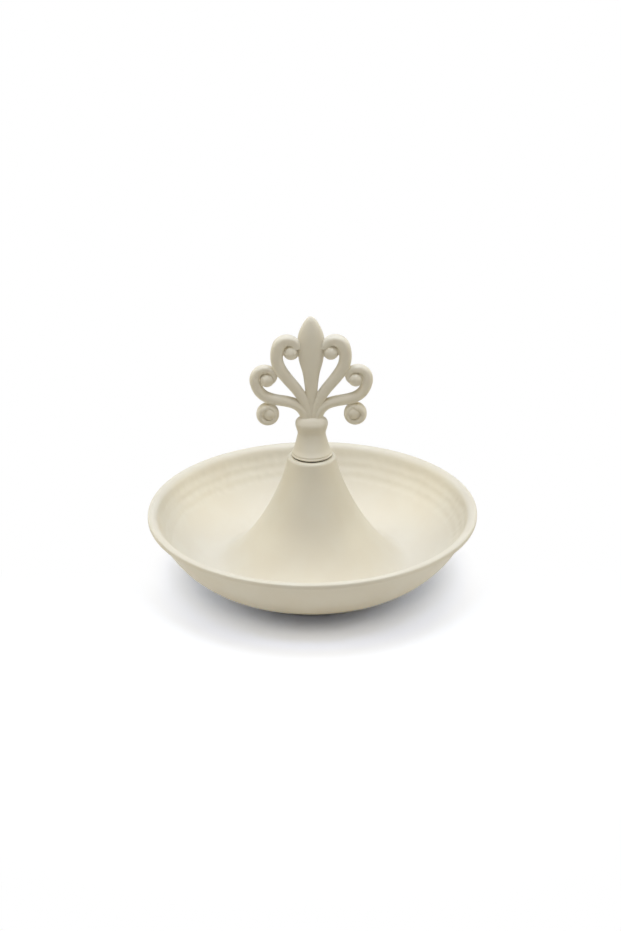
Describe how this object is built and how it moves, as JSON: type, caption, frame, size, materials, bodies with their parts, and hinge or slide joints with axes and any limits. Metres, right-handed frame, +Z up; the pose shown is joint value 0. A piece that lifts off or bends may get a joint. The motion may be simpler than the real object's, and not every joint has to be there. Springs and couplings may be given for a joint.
{
  "type": "serving dish",
  "caption": "Round footed metal serving dish with a rolled lip, hammered wall bands and a trumpet-shaped centre that carries a screwed-on scroll finial as its handle.",
  "frame": {"origin": "on the surface the dish stands on, below the dish's axis", "axes": "+Z up along the dish's axis; the finial's scrolls spread along X and face -Y"},
  "size_m": [0.25, 0.25, 0.208],
  "materials": {
    "cream_coat": "satin cream powder coat",
    "gasket_rubber": "matt black sheet rubber",
    "pad_rubber": "milky soft bumper rubber",
    "zinc_steel": "bright zinc plate"
  },
  "bodies": {
    "dish": {"dish": "cream_coat", "seat_gasket": "gasket_rubber", "flat_washer": "zinc_steel", "spring_washer": "zinc_steel", "foot_pad_1": "pad_rubber", "foot_pad_2": "pad_rubber", "foot_pad_3": "pad_rubber", "foot_pad_4": "pad_rubber"},
    "fixing_screw": {"fixing_screw": "zinc_steel"},
    "finial": {"finial": "cream_coat"}
  },
  "joints": [
    {"name": "screw_turn", "type": "hinge", "parent": "dish", "child": "fixing_screw", "pos_m": [0, 0, 0.0908], "axis": [0, 0, -1], "range_deg": [0, 3960]},
    {"name": "finial_lift", "type": "slide", "parent": "dish", "child": "finial", "axis": [0, 0, 1], "range_m": [0, 0.011]}
  ],
  "couplings": [
    {"joint": "screw_turn", "follows": "finial_lift", "rad_per_m": 6283.2}
  ]
}
